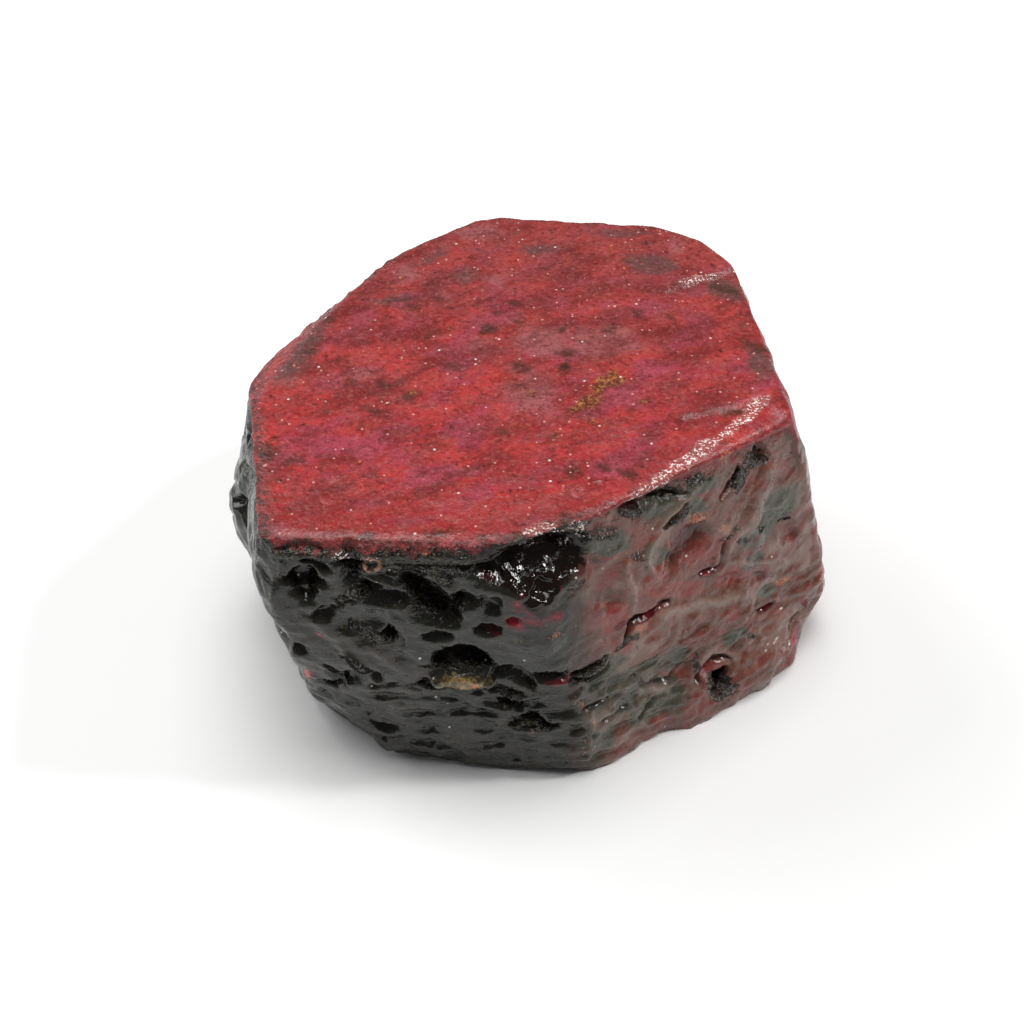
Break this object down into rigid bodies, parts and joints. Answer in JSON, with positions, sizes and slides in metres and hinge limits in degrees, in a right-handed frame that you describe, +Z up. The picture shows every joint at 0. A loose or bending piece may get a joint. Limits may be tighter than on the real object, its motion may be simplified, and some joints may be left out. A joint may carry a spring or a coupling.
{
  "type": "raw ruby crystal",
  "caption": "Rough, opaque six-sided ruby prism with flat ends, worn edges and pitted sides, lying flat on its base.",
  "frame": {"origin": "on the flat base, below the middle of the stone's box", "axes": "+Z up, along the crystal's short axis, from the base to the flat top; +X to the right along its longest side; -Y to the front corner"},
  "size_m": [0.0284, 0.026, 0.014],
  "materials": {
    "ruby": "waxy gloss"
  },
  "bodies": {
    "root": {"ruby_crystal": "ruby"}
  },
  "joints": []
}
